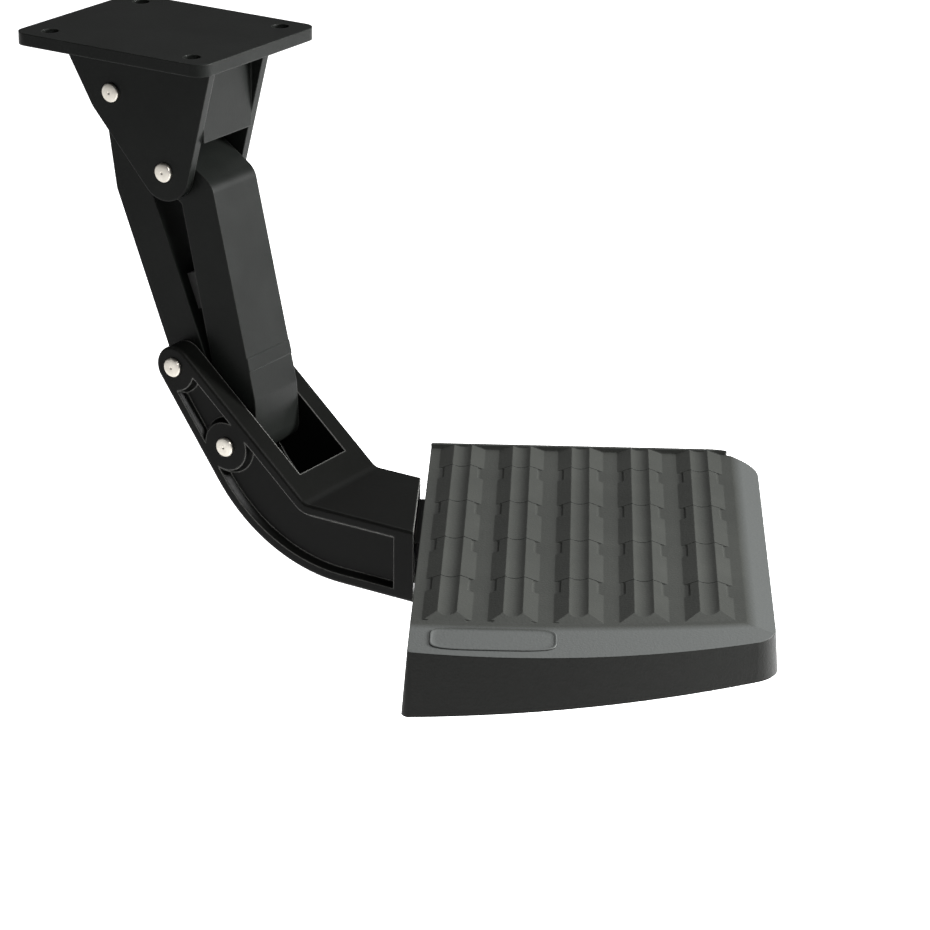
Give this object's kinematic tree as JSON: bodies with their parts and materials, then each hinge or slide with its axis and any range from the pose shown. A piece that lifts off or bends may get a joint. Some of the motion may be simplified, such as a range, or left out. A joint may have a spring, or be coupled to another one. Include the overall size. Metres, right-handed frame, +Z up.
{
  "type": "retractable truck bed step",
  "caption": "Black retractable truck step: ribbed plastic tread pad on a cast arm that swings in and up on two parallel links.",
  "frame": {"origin": "centre of the bracket's top mounting face", "axes": "+Z up out of the mounting face, +X the way the step swings out, +Y along the pivot pins"},
  "size_m": [0.5533, 0.3752, 0.3304],
  "materials": {
    "black_paint": "satin",
    "arm_coating": "satin",
    "steel": "satin",
    "rubber": "matte",
    "bush_plastic": "matte",
    "tread_plastic": "matte"
  },
  "bodies": {
    "bracket": {"mount_bracket": "black_paint", "bracket_front_pin": "steel", "bracket_rear_pin": "steel", "bracket_pin_rings": "steel", "return_spring": "steel", "stow_buffer": "rubber"},
    "front_link": {"front_link": "black_paint", "front_link_upper_bushes": "bush_plastic", "front_link_lower_bushes": "bush_plastic", "link_stop": "rubber"},
    "rear_link": {"rear_link": "black_paint", "rear_link_upper_bushes": "bush_plastic", "rear_link_lower_bushes": "bush_plastic"},
    "arm": {"step_arm": "arm_coating", "arm_front_pin": "steel", "arm_rear_pin": "steel", "arm_pin_rings": "steel", "step_pad": "tread_plastic", "pad_screws": "steel", "pad_washers": "steel"}
  },
  "joints": [
    {"name": "step_swing", "type": "hinge", "parent": "bracket", "child": "front_link", "pos_m": [-0.0205, 0, -0.038], "axis": [0, 1, 0], "range_deg": [0, 90]},
    {"name": "arm_level", "type": "hinge", "parent": "front_link", "child": "arm", "pos_m": [0.03213, 0, -0.21013], "axis": [0, 1, 0], "range_deg": [-90, 0]},
    {"name": "rear_link_swing", "type": "hinge", "parent": "bracket", "child": "rear_link", "pos_m": [0.0205, 0, -0.084], "axis": [0, 1, 0], "range_deg": [0, 90]}
  ],
  "couplings": [
    {"joint": "arm_level", "follows": "step_swing", "ratio": -1},
    {"joint": "rear_link_swing", "follows": "step_swing", "ratio": 1}
  ]
}
